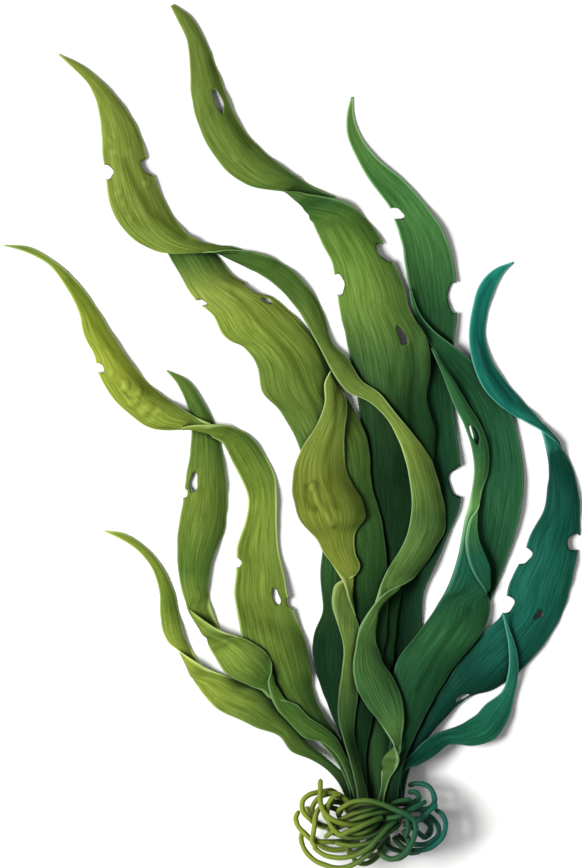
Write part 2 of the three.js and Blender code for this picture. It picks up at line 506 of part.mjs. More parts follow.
// Moves the strands, mostly up and down, until none touch each other, the crown or a stipe.
function untangle(strands, stipes) {
  const room = 2 * STRAND_RADIUS + STRAND_GAP;
  const links = strands.flatMap((path, s) =>
    path.slice(1).map((q, i) => ({ s, i, p: path[i], q, fixed: false, room })));
  const all = [...links, ...stipes];
  const drawn = strands.map((path) => path.map((p) => p.clone()));
  for (let pass = 0; pass < UNTANGLE_PASSES; pass++) {
    if (pass < EVENING_PASSES) strands.forEach((path, s) => evenOut(path, drawn[s]));
    links.forEach((one, k) => all.slice(k + 1).forEach((other) => keepApart(one, other)));
    for (const p of strands.flat()) {
      clearCrown(p, STRAND_RADIUS + STRAND_GAP);
      p.z = Math.max(p.z, STRAND_RADIUS);
    }
  }
}

function strandSkin(path) {
  const curve = new THREE.CatmullRomCurve3(path);
  const steps = path.length - 1;
  const { normals, binormals } = curve.computeFrenetFrames(steps);
  const rings = curve.getSpacedPoints(steps).map((p, i) => {
    const radius = STRAND_RADIUS * (i === steps ? STRAND_TIP : 1);
    return Array.from({ length: STRAND_SIDES }, (_, k) => {
      const turn = (2 * Math.PI * k) / STRAND_SIDES;
      return p.clone().addScaledVector(normals[i], radius * Math.cos(turn))
        .addScaledVector(binormals[i], radius * Math.sin(turn));
    });
  });
  return skin(rings);
}

// A flat-topped knob: the stipes stand on its top and the strands leave its sides.
function crownSkin() {
  const rings = CROWN_PROFILE.map(([wide, down]) =>
    Array.from({ length: CROWN.sides }, (_, k) => {
      const turn = (2 * Math.PI * k) / CROWN.sides;
      return onPlan(CROWN.x + CROWN.halfWidth * wide * Math.cos(turn), CROWN.y + CROWN.length * down,
        CROWN.z - CROWN.halfHeight * wide * Math.sin(turn));
    }));
  return skin(rings);
}

const plant = new THREE.Group();
function add(name, geometry, colour) {
  const mesh = new THREE.Mesh(geometry, new THREE.MeshStandardMaterial({ color: colour, roughness: 0.5 }));
  mesh.name = name;
  plant.add(mesh);
}

// The pile settles in rounds, because one frond lies both over and under its neighbour.
const loose = PILE.map((name, k) => looseRows(FROND[name], RUFFLE_TURN.frond * k));
const laid = {};
const maps = {};
for (let round = 0; round < PILE_ROUNDS; round++)
  PILE.forEach((name, k) => {
    laid[name] = layDown(name, loose[k], maps);
    maps[name] = heightMap(laid[name]);
  });
for (const name of PILE) add(name, frondSkin(laid[name]), FROND[name].colour);

add("crown", crownSkin(), STRAND_COLOUR.middle);

// The strands keep clear of the last two lengths of every stipe.
const stipes = PILE.flatMap((name) => {
  const rows = laid[name].slice(-3);
  return rows.slice(1).flatMap((next, i) =>
    ["a", "middle", "b"].map((side) =>
      ({ s: name, i, p: rows[i][side], q: next[side], fixed: true, room: STRAND_RADIUS + STIPE_ROOM })));
});
const strands = Object.values(STRAND).map((route) => {
  const curve = new THREE.CatmullRomCurve3(route.map(([x, y, z]) => onPlan(x, y, z)));
  return curve.getSpacedPoints(Math.round(curve.getLength() / RING_STEP));
});
untangle(strands, stipes);
Object.keys(STRAND).forEach((name, k) => {
  const middle = strands[k][Math.floor(strands[k].length / 2)].x + SHEET.width / 2;
  const side = middle < COLOUR_FROM.middle ? "left" : middle > COLOUR_FROM.right ? "right" : "middle";
  add(`hapteron_${name}`, strandSkin(strands[k]), STRAND_COLOUR[side]);
});

// The part's origin is the middle of its footprint.
const box = new THREE.Box3().setFromObject(plant);
const middle = box.getCenter(new THREE.Vector3());
plant.position.set(-middle.x, -middle.y, -box.min.z);

export default plant;
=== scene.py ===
# A green kelp plant lying on a pale floor, seen from straight above: veined fronds with wavy, bitten
# margins round a holdfast of root strands. Lengths in the tables are millimetres on the plant's plan.
import math

import bmesh
import bpy
import numpy as np
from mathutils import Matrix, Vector


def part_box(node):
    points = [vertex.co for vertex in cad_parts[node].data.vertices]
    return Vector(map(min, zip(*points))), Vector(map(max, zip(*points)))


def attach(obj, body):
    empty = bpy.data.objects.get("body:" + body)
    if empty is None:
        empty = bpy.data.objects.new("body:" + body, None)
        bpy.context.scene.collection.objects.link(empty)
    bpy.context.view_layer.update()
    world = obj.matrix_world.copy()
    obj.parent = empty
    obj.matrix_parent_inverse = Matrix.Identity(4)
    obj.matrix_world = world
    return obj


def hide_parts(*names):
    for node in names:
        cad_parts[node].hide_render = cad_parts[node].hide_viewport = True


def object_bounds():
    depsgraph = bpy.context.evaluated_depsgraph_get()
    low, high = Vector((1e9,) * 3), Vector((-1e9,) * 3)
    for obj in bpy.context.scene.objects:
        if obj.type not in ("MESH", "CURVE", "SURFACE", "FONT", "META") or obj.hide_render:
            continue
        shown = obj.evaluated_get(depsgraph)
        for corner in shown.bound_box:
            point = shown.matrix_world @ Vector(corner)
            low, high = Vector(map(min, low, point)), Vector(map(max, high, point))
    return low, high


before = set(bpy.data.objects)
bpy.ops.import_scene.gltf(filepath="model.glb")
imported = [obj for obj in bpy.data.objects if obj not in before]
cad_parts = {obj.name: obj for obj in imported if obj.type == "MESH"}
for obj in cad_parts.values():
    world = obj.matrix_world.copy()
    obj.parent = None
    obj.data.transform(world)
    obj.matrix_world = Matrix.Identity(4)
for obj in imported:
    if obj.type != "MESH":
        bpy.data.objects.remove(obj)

MM = 0.001
CAD_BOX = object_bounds()

# The plan's origin is the photograph's top left corner, and one millimetre there is one pixel.
PHOTO_SIZE = (582, 868)
LEFT_TIP = 3.0
TOP_TIP = 3.0

# How finely the fronds are made, and their section
STEP_ALONG = 2.2
STEP_ACROSS = 1.25
HALF_THICKNESS = 0.75
LEAST_HALF = 0.22  # half thickness next to the rim
RIM_WIDTH = 1.6
FULL_WIDTH = 5.0  # narrower rows are thinner
THINNEST = 0.25  # share of the thickness that the narrowest rows keep
ROUND_TIP = 0.5  # the very tip counts as this far from the margin
INTO_CROWN = 6.0
OFF_FLOOR = 0.1

# Relief of the fronds
VEIN_SPACING = 3.4
VEIN_FADE = (2.2, 0.6)  # veins are gone where they are closer than the product of these
VEIN_RELIEF = 0.05
FOLD_RELIEF = 0.32
PUCKER_RELIEF = 0.6
FLAT_RIM = 6.0  # folds and puckers fade out this near to an edge
FLAT_WIDTH = 30.0  # and on narrower rows
MARGIN_WAVE = 0.35
MARGIN_REACH = 7.0
MARGIN_FADE = (25.0, 0.3)  # margins are flat on rows narrower than the product of these
MARGIN_PITCH = 4.1  # millimetres to a radian
SECOND_MARGIN = 2.4  # radians that the second margin's wave is ahead of the first's

# Lobes of an irregular round: how many and how large, twice
CUT_LOBES = ((3, 0.07), (5, 0.05))
CUT_CORE = 0.2  # a point this near to a cut's middle, or nearer, moves out no faster
NO_CUT = 1e3  # distance from a cut where there is none
BLISTER_LOBES = ((2, 0.24), (3, 0.12))
DOME_POWER = 0.8

# The holdfast: its strands, and the crown's rounded box
STRAND_SIDES = 14
STRAND_STEP = 1.6
FREE_END = 0.9  # thickness at the free end, as a share
CROWN_END = 0.16  # how much more there is at the crown
TIP_LENGTH = 1.2  # of the rounded tip, in radii
BLUNT_TIP = 0.03  # least square of the thickness at the very tip, as a share
CROWN_SUBDIVISIONS = 5
CROWN_SQUARENESS = 4
CROWN_FILL = 0.95

# The waves of each piece start at a seed of its own.
SEED_STEP = 1.9

# The fibres' texture: millimetres across and along a frond to one unit of its noise
FIBRE_ACROSS = 6
FIBRE_ALONG = 100

# Camera, light and floor
CAMERA_LENS = 400.0
SENSOR = 36.0
LOOK_HEIGHT = 0.015
KEY_LIGHT = {"place": (-2.5, -0.3, 3.1), "size": 1.7, "power": 245}
FILL_LIGHT = {"place": (2.0, 0.8, 1.8), "size": 1.4, "power": 10}
SKY_STRENGTH = 0.23
FLOOR_SIZE = 12.0
FLOOR_COLOUR = (0.86, 0.86, 0.85, 1)
FLOOR_ROUGHNESS = 0.9
FLOOR_SPECULAR = 0.1


def plan_to_frame(x, y):
    """A point of the plan, in metres in the frame."""
    low, high = CAD_BOX
    return low[0] + (x - LEFT_TIP) * MM, high[1] - (y - TOP_TIP) * MM


def plan_to_mm(x, y):
    """A point of the plan, in millimetres in the frame."""
    return np.array(plan_to_frame(x, y)) / MM


def srgb(red, green, blue):
    """An 8-bit screen colour as the linear colour that shaders take."""
    def linear(c):
        c /= 255
        return c / 12.92 if c <= 0.04045 else ((c + 0.055) / 1.055) ** 2.4

    return linear(red), linear(green), linear(blue), 1.0


# Each frond's colours from tip to crown: share of its length, then the screen colour. Partly the frond's
# own tone, partly painted shade: the darkest stops paint the shade where the frond lies under others and
# under its twists.
FROND_COLOURS_AND_SHADE = {
    "front_ribbon_frond": [
        (0, (106, 120, 47)), (0.1, (110, 124, 50)), (0.2, (102, 118, 46)), (0.26, (98, 118, 46)),
        (0.3, (62, 92, 36)), (0.37, (66, 92, 36)), (0.44, (82, 104, 42)), (0.58, (106, 126, 53)),
        (0.66, (72, 102, 48)), (0.73, (76, 106, 50)), (0.87, (50, 86, 44)), (0.95, (76, 106, 52)),
        (1, (48, 78, 36))],
    "tall_frond": [
        (0, (92, 108, 45)), (0.2, (88, 108, 43)), (0.3, (50, 84, 36)), (0.36, (82, 112, 44)),
        (0.43, (94, 122, 50)), (0.5, (56, 86, 40)), (0.56, (27, 55, 25)), (0.63, (12, 37, 15)),
        (0.78, (13, 39, 17)), (0.92, (42, 74, 36)), (1, (44, 74, 36))],
    "right_tall_frond": [
        (0, (84, 116, 56)), (0.13, (66, 112, 54)), (0.22, (64, 108, 56)), (0.32, (32, 70, 38)),
        (0.45, (21, 58, 34)), (0.62, (14, 47, 30)), (0.8, (8, 32, 18))],
    "right_back_frond": [
        (0, (40, 88, 46)), (0.15, (26, 66, 38)), (0.3, (31, 78, 48)), (0.45, (34, 79, 49)),
        (0.58, (18, 56, 39)), (1, (8, 34, 22))],
    "teal_frond": [
        (0, (30, 116, 100)), (0.26, (24, 97, 82)), (0.33, (32, 110, 94)), (0.365, (12, 58, 47)),
        (0.42, (13, 62, 50)), (0.54, (22, 84, 67)), (0.66, (21, 82, 68)), (0.75, (14, 60, 47)),
        (0.85, (13, 54, 42)), (1, (6, 36, 28))],
    "broad_frond": [
        (0, (60, 90, 38)), (0.1, (62, 90, 36)), (0.17, (120, 134, 56)), (0.24, (112, 130, 48)),
        (0.33, (88, 108, 42)), (0.42, (76, 98, 38)), (0.52, (54, 84, 36)), (0.63, (38, 70, 31)),
        (0.75, (14, 41, 19))],
    "low_left_frond": [
        (0, (118, 134, 48)), (0.26, (90, 110, 38)), (0.42, (128, 144, 54)), (0.52, (120, 136, 51)),
        (0.66, (76, 98, 36)), (0.85, (50, 74, 30)), (1, (34, 56, 24))],
    "long_left_frond": [
        (0, (92, 110, 40)), (0.12, (112, 128, 44)), (0.24, (128, 140, 48)), (0.36, (112, 128, 46)),
        (0.45, (84, 106, 38)), (0.55, (112, 132, 50)), (0.66, (104, 122, 46)), (0.8, (70, 94, 36)),
        (0.92, (52, 78, 34)), (1, (34, 56, 26))],
    "left_twisted_frond": [
        (0, (84, 106, 40)), (0.12, (70, 98, 38)), (0.26, (94, 112, 42)), (0.4, (70, 96, 35)),
        (0.48, (108, 128, 48)), (0.6, (106, 126, 48)), (0.68, (60, 88, 32)), (0.8, (58, 86, 32)),
        (1, (34, 56, 24))],
    "small_teal_frond": [
        (0, (28, 96, 80)), (0.27, (32, 100, 82)), (0.5, (24, 84, 62)), (0.75, (16, 66, 50)),
        (1, (8, 34, 24))],
    "right_front_frond": [
        (0, (40, 84, 46)), (0.23, (44, 90, 52)), (0.34, (78, 122, 62)), (0.45, (24, 84, 64)),
        (0.53, (24, 68, 44)), (0.62, (38, 82, 46)), (0.75, (26, 66, 38)), (1, (10, 36, 20))],
    "pouch_frond": [
        (0, (124, 140, 60)), (0.08, (102, 120, 50)), (0.25, (99, 110, 39)), (0.46, (102, 114, 41)),
        (0.56, (76, 98, 42)), (0.66, (80, 100, 42)), (0.78, (44, 70, 32)), (1, (40, 64, 28))],
}
# The strands' colours from left to right: place across the plan, then the screen colour.
STRAND_COLOURS = [
    (300, (128, 142, 40)), (340, (104, 122, 36)), (375, (56, 90, 34)), (410, (26, 80, 50)),
    (440, (16, 92, 80))]
# The crown's near-black colours are painted shade for the shadowed gaps under the frond bases, varied by
# its grain.
CROWN_SHADE_COLOURS = [(0.3, (12, 24, 12)), (0.7, (34, 50, 24))]
# Bites and holes: the middle (x, y) on the plan, half the size across the frond and half along it.
CUTS = {
    "tall_frond": [(218, 100, 4.5, 12), (337, 284, 8, 11), (386, 251, 9, 9), (402, 335, 4.5, 10)],
    "right_tall_frond": [(396, 214, 7, 7.5), (457, 297, 10, 15), (461, 481, 11, 15)],
    "broad_frond": [(202, 303, 4, 4), (259, 289, 7.5, 14), (266, 300, 3.5, 4)],
    "long_left_frond": [(99, 368, 5, 5), (237, 563, 4, 5), (291, 603, 4, 6), (276, 597, 3.5, 9)],
    "left_twisted_frond": [(194, 483, 4, 10), (183, 494, 4, 5)],
    "right_front_frond": [(475, 434, 4, 9.5)],
    "teal_frond": [(577, 543, 10, 8), (525, 556, 7, 8), (505, 606, 9, 9), (462, 697, 4, 7),
                   (539, 615, 3.5, 5)],
    "front_ribbon_frond": [(149, 166, 8, 9), (104, 171, 9, 7)],
}
# The side of a frond that gets painted shade, as if lit from the other side, and how much: on most fronds,
# and on those that differ
PAINTED_SHADE_SIDE = (0.85, 0.5, 0)
COMMON_PAINTED_SHADE = 0.6
PAINTED_SHADE_SHARE = {"front_ribbon_frond": 0.3, "broad_frond": 0.15, "small_teal_frond": 0.3, "teal_frond": 0.15}
# Share of their veins that smoother fronds show
SMOOTHNESS = {"pouch_frond": 0.3}
# Blisters: middle (x, y) on the plan, radius and height.
BLISTERS = {
    "front_ribbon_frond": [(110, 140, 4, 1.4), (114, 152, 5, 1.8), (119, 192, 5, 2), (124, 203, 4, 1.6),
                           (130, 219, 5, 1.6), (146, 183, 4, 1.2)],
    "long_left_frond": [(125, 386, 6, 2.4), (138, 393, 5, 2), (133, 402, 6, 2.6), (145, 409, 8, 3.2),
                        (158, 411, 5, 1.8), (152, 420, 4, 1.4), (112, 372, 4, 1.2)],
    "pouch_frond": [(314, 487, 5.5, 3.4)],
    "tall_frond": [(236, 158, 5, 1.2)],
}
# Creases: half width, depth (less than nothing for a ridge), then points (x, y) along it on the plan. Each
# crease also gets painted shade, and each ridge painted light.
CREASES = {
    "front_ribbon_frond": [(5, 1.4, (126, 160), (137, 185), (152, 212), (185, 236))],
    "teal_frond": [(4, 1.2, (492, 280), (479, 305), (478, 335), (490, 370), (512, 398))],
    "tall_frond": [(4, 1.0, (413, 345), (416, 370), (411, 400), (412, 430)),
                   (7, -1.4, (423, 342), (425, 380), (429, 420), (430, 460)),
                   (5, 1.0, (212, 60), (224, 105), (250, 145))],
    "pouch_frond": [(2.4, 2.6, (305, 486), (305, 499), (310, 508), (316, 509)),
                    (3, -3.2, (314, 485), (318, 500), (325, 512), (333, 523)),
                    (4, 1.4, (338, 392), (337, 425), (328, 455), (331, 488), (337, 506))],
    "long_left_frond": [(4, 1.0, (70, 280), (95, 325), (120, 360), (150, 392))],
    "broad_frond": [(4, 1.0, (232, 290), (290, 352), (322, 420))],
    "right_front_frond": [(4, 1.0, (470, 610), (440, 650), (418, 690))],
}


# Reading the frame

def levels_from(start, near):
    """How many edges each point of a mesh is from the start."""
    level = {start: 0}
    queue = [start]
    for v in queue:
        for o in near[v]:
            if o not in level:
                level[o] = level[v] + 1
                queue.append(o)
    return level


def rings_of(node):
    """The rings of a CAD node's skin from the end that is farther from the crown: rings, sides, xyz."""
    mesh = bmesh.new()
    mesh.from_mesh(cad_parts[node].data)
    bmesh.ops.remove_doubles(mesh, verts=mesh.verts, dist=1e-6)
    mesh.verts.index_update()
    near = {v.index: [e.other_vert(v).index for e in v.link_edges] for v in mesh.verts}
    place = np.array([v.co for v in mesh.verts])
    faces = [[v.index for v in f.verts] for f in mesh.faces]
    mesh.free()
    crown = np.mean(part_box("crown"), axis=0)
    # The middle point of an end is the only one with nothing but five-edged points round it.
    ends = [v for v, others in near.items() if all(len(near[o]) == 5 for o in others)]
    start = max(ends, key=lambda v: np.linalg.norm(place[v] - crown))
    level = levels_from(start, near)
    beside, onward = {}, {}
    for face in faces:
        for k in range(3):
            first, second, third = face[k], face[k - 2], face[k - 1]
            if level[first] == level[second] == level[third] - 1:
                beside[first] = second
                onward[second] = third
    ring = [near[start][0]]
    while beside[ring[-1]] != ring[0]:
        ring.append(beside[ring[-1]])
    rings = []
    while len(set(ring)) > 1:
        rings.append(place[ring])
        ring = [onward[v] for v in ring]
    return np.array(rings)


def frond_rows(node):
    """The first margin, the middle and the second margin of a frond's rows, in millimetres."""
    rings = rings_of(node) / MM
    half = rings.shape[1] // 2

    def spread(turn):
        turned = np.roll(rings, -turn, axis=1)
        return np.linalg.norm(turned[:, :half] - turned[:, :half - 1:-1], axis=2).sum()

    rings = np.roll(rings, -min(range(half), key=spread), axis=1)
    middle = (rings[:, :half] + rings[:, :half - 1:-1]) / 2
    middle = np.concatenate([middle, middle[-1:] + [0, -INTO_CROWN, 0]])
    return middle[:, 0], middle[:, half // 2], middle[:, -1]


def smooth(points, knots, at):
    """A smooth curve through points, at the given knot values."""
    gaps = np.diff(knots)
    slopes = np.diff(points, axis=0) / gaps[:, None]
    inner = (gaps[:-1, None] * slopes[1:] + gaps[1:, None] * slopes[:-1]) / (gaps[:-1] + gaps[1:])[:, None]
    tangents = np.vstack([slopes[:1], inner, slopes[-1:]])
    i = np.clip(np.searchsorted(knots, at) - 1, 0, len(gaps) - 1)
    h = gaps[i][:, None]
    t = ((at - knots[i]) / gaps[i])[:, None]
    return ((2 * t**3 - 3 * t**2 + 1) * points[i] + (t**3 - 2 * t**2 + t) * h * tangents[i]
            + (3 * t**2 - 2 * t**3) * points[i + 1] + (t**3 - t**2) * h * tangents[i + 1])


def unit(vectors):
    return vectors / np.maximum(np.linalg.norm(vectors, axis=-1, keepdims=True), 1e-9)


# Meshes

def new_mesh(node, points, faces):
    mesh = bpy.data.meshes.new(node + "_skin")
    mesh.from_pydata(points.tolist(), [], faces)
    mesh.validate()
    return mesh


def adopt(node, mesh):
    """Shows a mesh, smooth-shaded, in place of a CAD node."""
    mesh.polygons.foreach_set("use_smooth", np.ones(len(mesh.polygons), bool))
    mesh.update()
    made = bpy.data.objects.new(node + "_skin", mesh)
    bpy.context.collection.objects.link(made)
    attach(made, "root")
    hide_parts(node)
    return made


# Fronds

class Blade:
    """A frond's smooth surface: u runs from 0 at the tip to its length, v from margin to margin."""

    def __init__(self, node):
        self.a, self.middle, self.b = frond_rows(node)
        runs = [np.linalg.norm(np.diff(edge, axis=0), axis=1) for edge in (self.a, self.middle, self.b)]
        gaps = np.mean(runs, axis=0)
        self.knots = np.concatenate([[0], np.cumsum(gaps)])
        self.length = self.knots[-1]

    def point(self, u, v):
        flat = np.clip(u.ravel(), 0, self.length)
        v = v.ravel()[:, None]
        a, m, b = (smooth(edge, self.knots, flat) for edge in (self.a, self.middle, self.b))
        return a * (1 - v) * (1 - 2 * v) + m * 4 * v * (1 - v) + b * v * (2 * v - 1)

    def slant(self, u):
        """How far a row runs towards the side that gets painted shade, from -1 to 1."""
        a, b = (smooth(edge, self.knots, u) for edge in (self.a, self.b))
        return unit(b - a) @ np.array(PAINTED_SHADE_SIDE)

    def width(self, u):
        a, m, b = (smooth(edge, self.knots, u) for edge in (self.a, self.middle, self.b))
        return np.linalg.norm(a - m, axis=1) + np.linalg.norm(b - m, axis=1)


def lobed(turn, x, y, lobes):
    """The outline of an irregular round, as a share of its radius at each turn."""
    (first, large), (second, small) = lobes
    return 1 + large * np.sin(first * turn + x) + small * np.sin(second * turn + y)


def cut_out(u, v, faces, blade, cuts):
    """Takes the bites and holes out of the grid, moves its cut rim onto their outlines, and gives
    the kept faces and each point's distance from the nearest cut."""
    away = np.full(len(u), NO_CUT)
    spots = blade.point(u, v)
    for x, y, across, along in cuts:
        mid_x, mid_y = plan_to_mm(x, y)
        nearest = np.argmin((spots[:, 0] - mid_x) ** 2 + (spots[:, 1] - mid_y) ** 2)
        mid_u, mid_v = u[nearest], v[nearest]
        wide = blade.width(np.array([mid_u]))[0]
        du = (u - mid_u) / along
        dv = (v - mid_v) * wide / across
        reach = np.hypot(du, dv) / lobed(np.arctan2(du, dv), x, y, CUT_LOBES)
        gone = reach[faces].mean(axis=1) < 1
        rim = np.intersect1d(faces[gone], faces[~gone])
        faces = faces[~gone]
        scale = 1 / np.maximum(reach[rim], CUT_CORE)
        u[rim] = mid_u + (u[rim] - mid_u) * scale
        v[rim] = np.clip(mid_v + (v[rim] - mid_v) * scale, 0, 1)
        reach[rim] = 1
        away = np.minimum(away, (reach - 1) * min(across, along))
    return faces, np.maximum(away, 0)


def sheet_faces(rows, columns):
    """The four-sided faces between the points of a grid."""
    index = np.arange(rows * columns).reshape(rows, columns)
    corners = [index[:-1, :-1], index[:-1, 1:], index[1:, 1:], index[1:, :-1]]
    return np.stack(corners, axis=-1).reshape(-1, 4)


class Sheet:
    """A frond's grid of points, with no thickness yet, and each point's distances on it."""

    def __init__(self, node):
        blade = Blade(node)
        rows = int(blade.length / STEP_ALONG)
        us = np.linspace(0, blade.length, rows)
        self.widest = blade.width(us).max()
        columns = int(self.widest / STEP_ACROSS)
        u, v = (g.ravel() for g in np.meshgrid(us, np.linspace(0, 1, columns), indexing="ij"))
        faces = sheet_faces(rows, columns)
        self.faces, self.from_cut = cut_out(u, v, faces, blade, CUTS.get(node, []))
        self.u, self.v = u, v
        self.along = u / blade.length
        self.points = blade.point(u, v)
        self.wide = blade.width(u)
        self.margin = np.minimum.reduce([v * self.wide, (1 - v) * self.wide, u + ROUND_TIP])
        self.edge = np.minimum(self.margin, self.from_cut)
        # share of painted shade, on the side of the frond away from the key light
        self.to_shade = np.clip(2 * (v - 0.5) * blade.slant(u), 0, 1)


def ripple(seed, *terms):
    """A smooth wave in 0 to 1 of the given phases, each with its own start."""
    total = sum(np.sin(term + seed * (1.7 + k)) for k, term in enumerate(terms))
    return 0.5 + 0.5 * total / len(terms)


def waves(sheet, seed, lines, fine):
    """The height of a frond's veins, folds, puckers and wavy margins. In each wave, u is divided by the
    millimetres to a radian, and v is multiplied by the radians from margin to margin."""
    u, v, wide = sheet.u, sheet.v, sheet.wide
    veins = VEIN_RELIEF * fine * np.cos(2 * np.pi * lines)
    folds = ripple(seed, 13 * v + u / 37, 29 * v - u / 53, 43 * v + u / 71, 19 * v - u / 31) - 0.5
    puckers = ripple(seed, u / 13 + 5 * v, u / 9 - 7 * v, u / 23 + 11 * v) - 0.5
    inside = np.clip(sheet.edge / FLAT_RIM, 0, 1) * np.clip(wide / FLAT_WIDTH, 0, 1)
    breadth, flat = MARGIN_FADE
    near_margin = np.exp(-np.minimum(v, 1 - v) * wide / MARGIN_REACH)
    near_margin *= np.clip(wide / breadth - flat, 0, 1)
    side = np.where(v < 0.5, 0, SECOND_MARGIN)
    wavy = np.sin(u / MARGIN_PITCH + 1.5 * np.sin(u / 29 + seed) + side)
    swell = (FOLD_RELIEF * folds + PUCKER_RELIEF * puckers) * inside
    return veins + swell + MARGIN_WAVE * near_margin * wavy


def blisters(node, points):
    """The height of a frond's blisters, and each point's share of the fullest one."""
    height = np.zeros(len(points))
    fullest = np.zeros(len(points))
    for x, y, radius, rise in BLISTERS.get(node, []):
        dx, dy = (points[:, :2] - plan_to_mm(x, y)).T
        reach = radius * lobed(np.arctan2(dy, dx), x, y, BLISTER_LOBES)
        dome = np.clip(1 - (np.hypot(dx, dy) / reach) ** 2, 0, 1) ** DOME_POWER
        height += rise * dome
        fullest = np.maximum(fullest, dome)
    return height, fullest


def from_path(points, path):
    """How far points are, on the plan, from a line through places on it."""
    places = np.array([plan_to_mm(*place) for place in path])
    far = np.full(len(points), np.inf)
    for start, end in zip(places, places[1:]):
        way = end - start
        share = np.clip((points[:, :2] - start) @ way / way.dot(way), 0, 1)
        far = np.minimum(far, np.linalg.norm(points[:, :2] - start - share[:, None] * way, axis=1))
    return far


def creases(node, points):
    """The depth of a frond's creases, and each point's share of them, less than nothing on ridges; the
    share sets painted shade in creases and painted light on ridges.
    """
    depth = np.zeros(len(points))
    share = np.zeros(len(points))
    for breadth, deepest, *path in CREASES.get(node, []):
        fold = np.exp(-((from_path(points, path) / breadth) ** 2))
        depth += deepest * fold
        share += np.sign(deepest) * fold
    return depth, share


def point_normals(points, faces):
    """Each point's normal, from the faces round it."""
    corners = points[faces]
    flat = np.cross(corners[:, 2] - corners[:, 0], corners[:, 3] - corners[:, 1])
    normals = np.zeros_like(points)
    for k in range(4):
        np.add.at(normals, faces[:, k], flat)
    return unit(normals)


def open_edges(faces):
    """The edges on the rim of a sheet of four-sided faces, as pairs of points."""
    edges = np.sort(np.concatenate([faces[:, [k, (k + 1) % 4]] for k in range(4)]), axis=1)
    single, count = np.unique(edges, axis=0, return_counts=True)
    return single[count == 1]


def thicken(sheet, points):
    """The upper and lower side of a sheet, joined along its rim: places, faces, and the number of the
    sheet's point that each place comes from."""
    faces = sheet.faces
    normals = point_normals(points, faces)
    inward = np.clip(sheet.edge / RIM_WIDTH, 0, 1)
    half = HALF_THICKNESS * np.sqrt(np.clip(1 - (1 - inward) ** 2, 0, 1))
    half *= np.clip(sheet.wide / FULL_WIDTH, THINNEST, 1)
    on_rim = np.zeros(len(points), bool)
    on_rim[open_edges(faces).ravel()] = True
    half = np.where(on_rim, 0, np.maximum(half, LEAST_HALF))
    used = np.unique(faces)
    inner = used[~on_rim[used]]
    upper = np.full(len(points), -1)
    upper[used] = np.arange(len(used))
    lower = upper.copy()
    lower[inner] = len(used) + np.arange(len(inner))
    source = np.concatenate([used, inner])
    side = np.concatenate([np.ones(len(used)), -np.ones(len(inner))])
    places = points[source] + normals[source] * (half[source] * side)[:, None]
    places[:, 2] = np.maximum(places[:, 2], OFF_FLOOR)
    return places, np.concatenate([upper[faces], lower[faces][:, ::-1]]), source


def make_frond(node, seed):
    sheet = Sheet(node)
    u, v = sheet.u, sheet.v
    veins = round(sheet.widest / VEIN_SPACING)
    spacing, gone = VEIN_FADE
    fine = np.clip(sheet.wide / veins / spacing - gone, 0, 1) * SMOOTHNESS.get(node, 1)
    lines = veins * v + (0.35 * np.sin(u / 41 + seed) + 0.25 * np.sin(u / 17 + 9 * v + seed))
    blister, dome = blisters(node, sheet.points)
    depth, crease_shading = creases(node, sheet.points)
    relief = waves(sheet, seed, lines, fine) + blister - depth
    normals = point_normals(sheet.points, sheet.faces)
    up = np.where(normals[:, 2:] < 0, -normals, normals)
    places, faces, source = thicken(sheet, sheet.points + up * relief[:, None])
    fields = {
        "along": sheet.along,
        "lines": lines,
        "streak": v * sheet.widest / FIBRE_ACROSS,
        "length": u / FIBRE_ALONG + seed,
        "shade": sheet.to_shade * PAINTED_SHADE_SHARE.get(node, COMMON_PAINTED_SHADE),
        "edge": np.minimum(sheet.margin, 2 * sheet.from_cut + 1),
        "fine": fine,
        "crease_shading": crease_shading,
        "blister": dome,
    }
    mesh = new_mesh(node, places * MM, faces.tolist())
    for field, values in fields.items():
        layer = mesh.attributes.new(field, "FLOAT", "POINT")
        layer.data.foreach_set("value", values[source].astype(np.float32))
    return adopt(node, mesh)


# Holdfast

def frames_along(ahead):
    """Two directions across a line at each of its points, turned as little as can be."""
    across = unit(np.cross(ahead[0], [0.3, 0.5, 0.8]))
    frames = []
    for way in ahead:
        across = unit(across - way * across.dot(way))
        frames.append((across, np.cross(way, across)))
    return np.array(frames)


def strand_reach(at, turn, radius, seed):
    """How far a knobbly strand's skin is from its middle line: rows, sides."""
    tip = np.sqrt(np.clip(1 - (1 - np.clip(at / (TIP_LENGTH * radius), 0, 1)) ** 2, BLUNT_TIP, 1))
    thick = radius * (FREE_END + CROWN_END * at / at[-1]) * tip
    at = at[:, None]
    knobs = 1 + 0.05 * np.sin(at / 2.7 + seed + 2 * np.sin(turn)) + 0.03 * np.sin(3 * turn + at / 5)
    return thick[:, None] * knobs


def tube_faces(rows, sides):
    """The faces of a closed tube of points, with a flat cap on each end."""
    index = np.arange(rows * sides).reshape(rows, sides)
    turned = np.roll(index, -1, axis=1)
    wall = np.stack([index[:-1], turned[:-1], turned[1:], index[1:]], axis=-1).reshape(-1, 4)
    return wall.tolist() + [index[0, ::-1].tolist(), index[-1].tolist()]


def make_strand(node, seed):
    rings = rings_of(node) / MM
    centres = rings.mean(axis=1)
    half_way = len(rings) // 2
    radius = np.linalg.norm(rings[half_way] - centres[half_way], axis=1).mean()
    knots = np.concatenate([[0], np.cumsum(np.linalg.norm(np.diff(centres, axis=0), axis=1))])
    rows = int(knots[-1] / STRAND_STEP)
    at = np.linspace(0, knots[-1], rows)
    line = smooth(centres, knots, at)
    frames = frames_along(unit(np.gradient(line, axis=0)))
    turn = np.linspace(0, 2 * np.pi, STRAND_SIDES, endpoint=False)
    reach = strand_reach(at, turn, radius, seed)
    points = (line[:, None] + frames[:, :1] * (reach * np.cos(turn))[..., None]
              + frames[:, 1:] * (reach * np.sin(turn))[..., None]).reshape(-1, 3)
    return adopt(node, new_mesh(node, points * MM, tube_faces(rows, STRAND_SIDES)))


